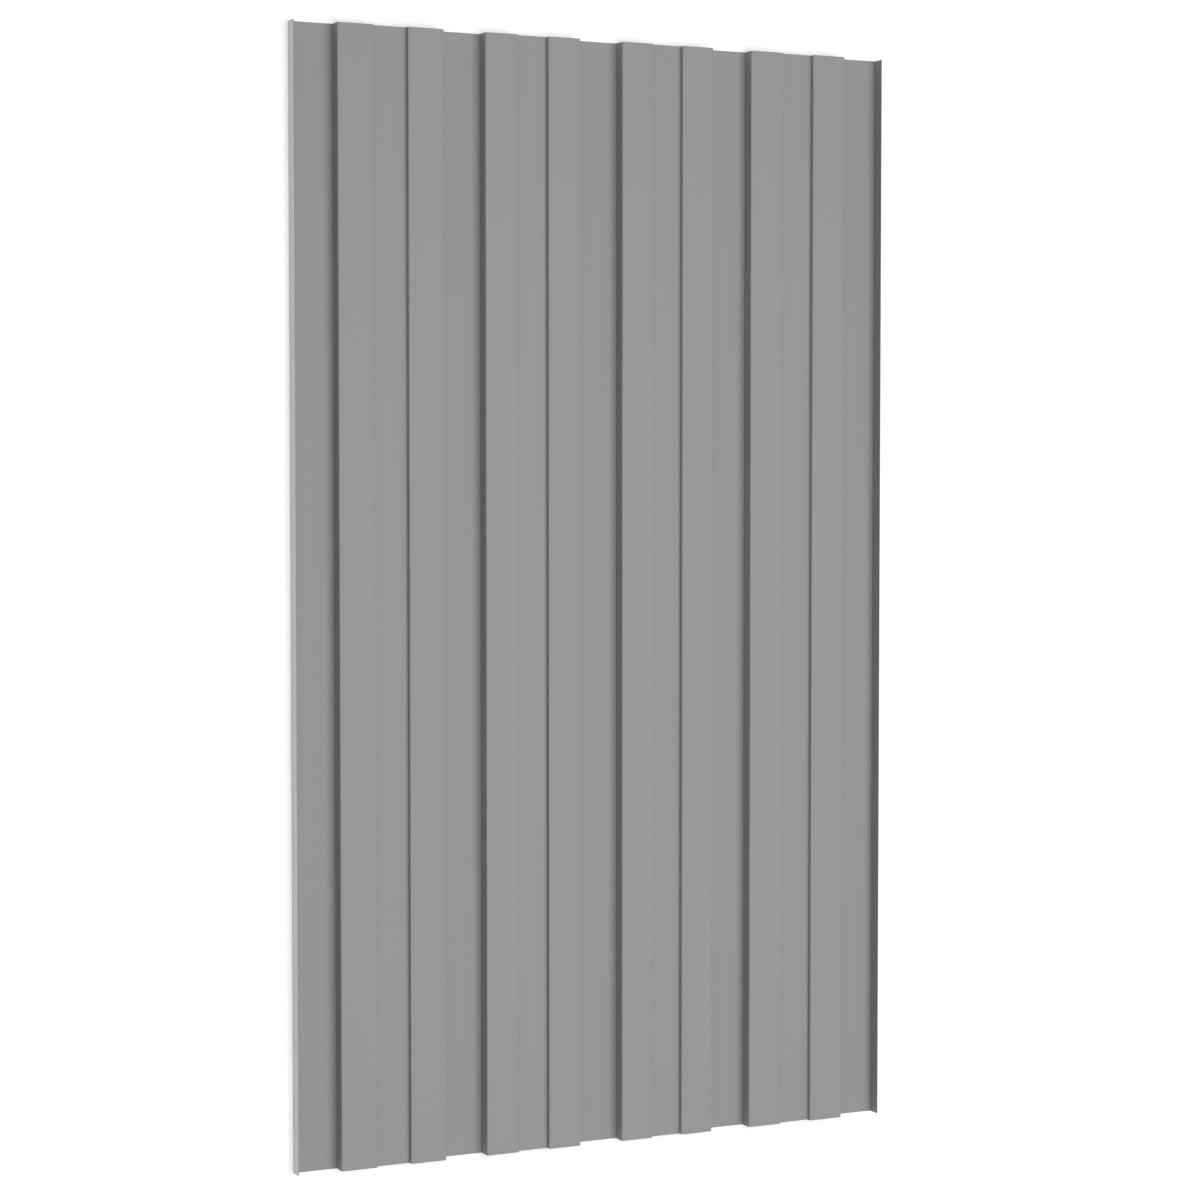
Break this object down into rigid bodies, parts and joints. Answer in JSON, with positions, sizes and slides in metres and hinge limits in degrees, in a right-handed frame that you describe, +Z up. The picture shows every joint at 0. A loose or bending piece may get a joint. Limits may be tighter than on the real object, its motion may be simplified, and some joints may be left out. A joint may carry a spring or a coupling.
{
  "type": "profiled metal wall sheet",
  "caption": "Flat-lying grey coated steel sheet with four box ribs, each grooved along its middle, and a turned-up lip along both long edges.",
  "frame": {"origin": "middle of the sheet's underside", "axes": "+Y along the ribs, +X across them, +Z up out of the front face"},
  "size_m": [0.35, 0.6, 0.0082],
  "materials": {
    "coat": "satin"
  },
  "bodies": {
    "root": {"profiled_sheet": "coat"}
  },
  "joints": []
}
